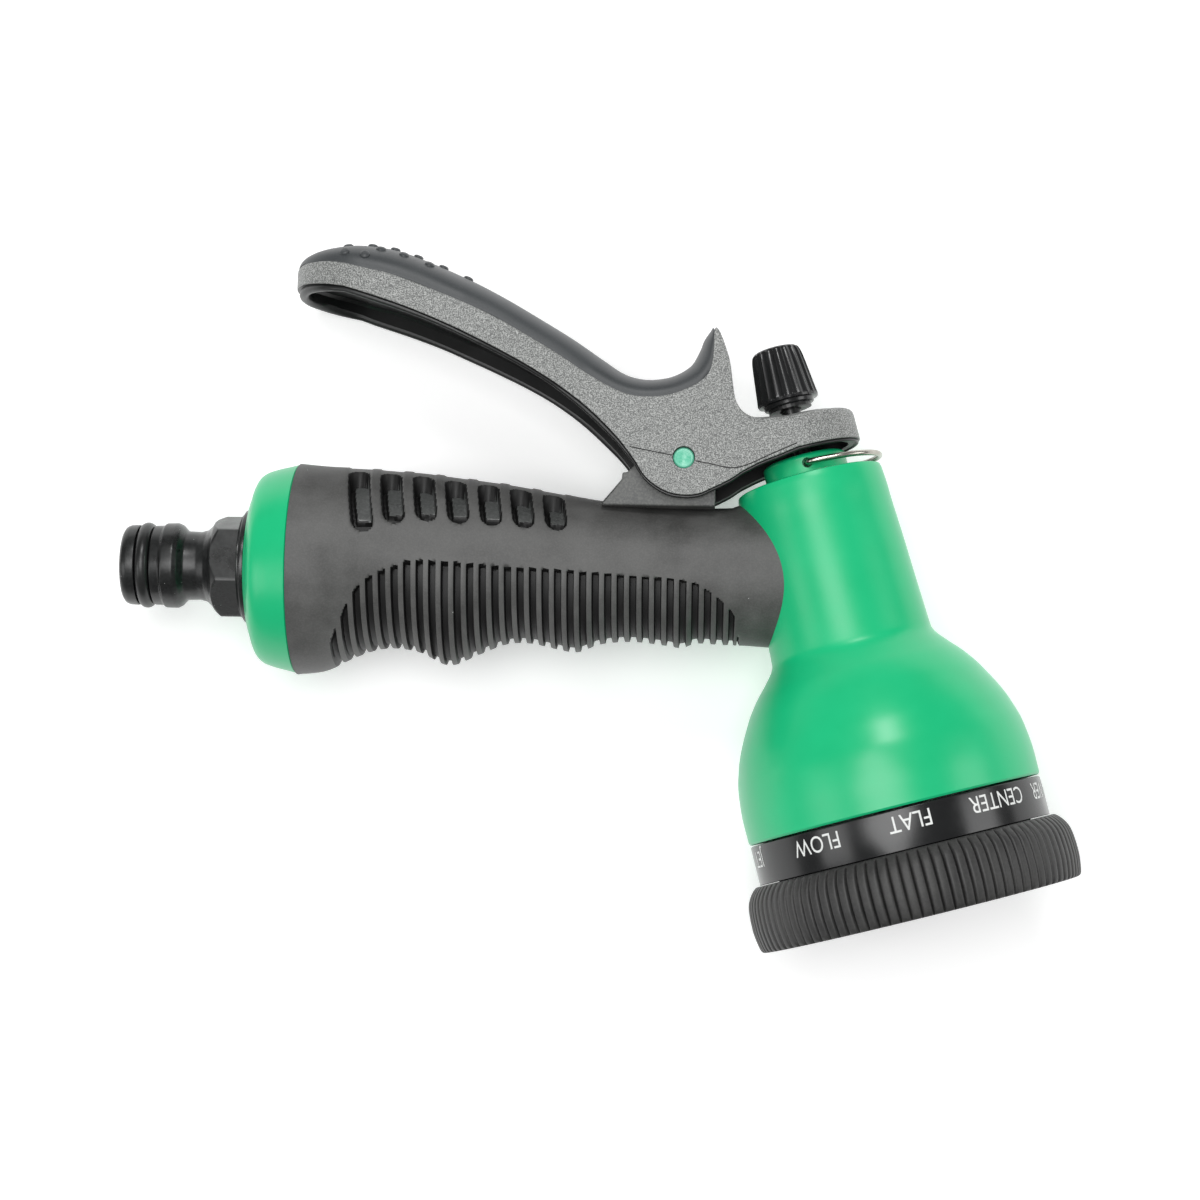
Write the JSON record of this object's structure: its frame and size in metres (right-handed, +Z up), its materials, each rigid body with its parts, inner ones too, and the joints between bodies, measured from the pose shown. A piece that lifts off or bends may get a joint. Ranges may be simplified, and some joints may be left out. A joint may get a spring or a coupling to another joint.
{
  "type": "hose spray nozzle",
  "caption": "Pistol-grip garden hose nozzle with squeeze lever, flow knob, turning spray head and snap-in spigot inlet.",
  "frame": {"origin": "centre of the bounding box's underside, with the nozzle lying on its side on its spray head, end cap and lever", "axes": "+X along the handle from spigot to spray head, +Y towards the squeeze lever, +Z up"},
  "size_m": [0.1966, 0.1438, 0.0673],
  "materials": {
    "green_abs": "satin moulded",
    "black_rubber": "matte moulded",
    "black_plastic": "gloss moulded",
    "grey_nylon": "fine spark texture",
    "soft_black": "soft touch satin",
    "stainless": "drawn wire",
    "brass": "turned"
  },
  "bodies": {
    "housing": {"body_shell": "green_abs", "end_cap": "green_abs", "handle_grip": "black_rubber", "inlet_adapter": "black_plastic", "inlet_o_ring": "black_rubber", "inlet_washer": "black_rubber", "lever_bracket": "grey_nylon", "pivot_pin": "green_abs", "gland_bush": "green_abs", "gland_o_ring": "black_rubber", "wire_clip": "stainless", "valve_seat": "brass", "distributor_disc": "black_plastic", "dial_gasket": "black_rubber", "dial_screw": "stainless", "detent_spring": "stainless", "detent_ball": "stainless", "valve_spring": "stainless"},
    "lever": {"lever": "grey_nylon", "lever_pad": "soft_black"},
    "stem": {"valve_stem": "brass", "valve_poppet": "brass", "poppet_washer": "black_rubber", "knob_washer": "stainless"},
    "knob": {"flow_knob": "black_plastic"},
    "dial": {"label_band": "black_plastic", "grip_ring": "black_rubber", "face_plate": "black_plastic"}
  },
  "joints": [
    {"name": "lever_hinge", "type": "hinge", "parent": "housing", "child": "lever", "pos_m": [0.01777, 0.02696, 0.02244], "axis": [-0.0401, 0.1095, 0.9932], "range_deg": [0, 12], "stiffness_Nm_per_rad": 1, "springref_deg": -14.32},
    {"name": "stem_lift", "type": "slide", "parent": "housing", "child": "stem", "axis": [-0.256, 0.9597, -0.1161], "range_m": [0, 0.006], "deforming": ["valve_spring"]},
    {"name": "flow_knob_turn", "type": "hinge", "parent": "stem", "child": "knob", "pos_m": [0.03754, 0.04616, 0.02112], "axis": [-0.256, 0.9597, -0.1161], "range_deg": [0, 540]},
    {"name": "spray_head_turn", "type": "hinge", "parent": "housing", "child": "dial", "pos_m": [0.06391, -0.05269, 0.03308], "axis": [0.256, -0.9597, 0.1161], "continuous": true}
  ],
  "couplings": [
    {"joint": "stem_lift", "follows": "lever_hinge", "m_per_rad": 0.0286}
  ]
}
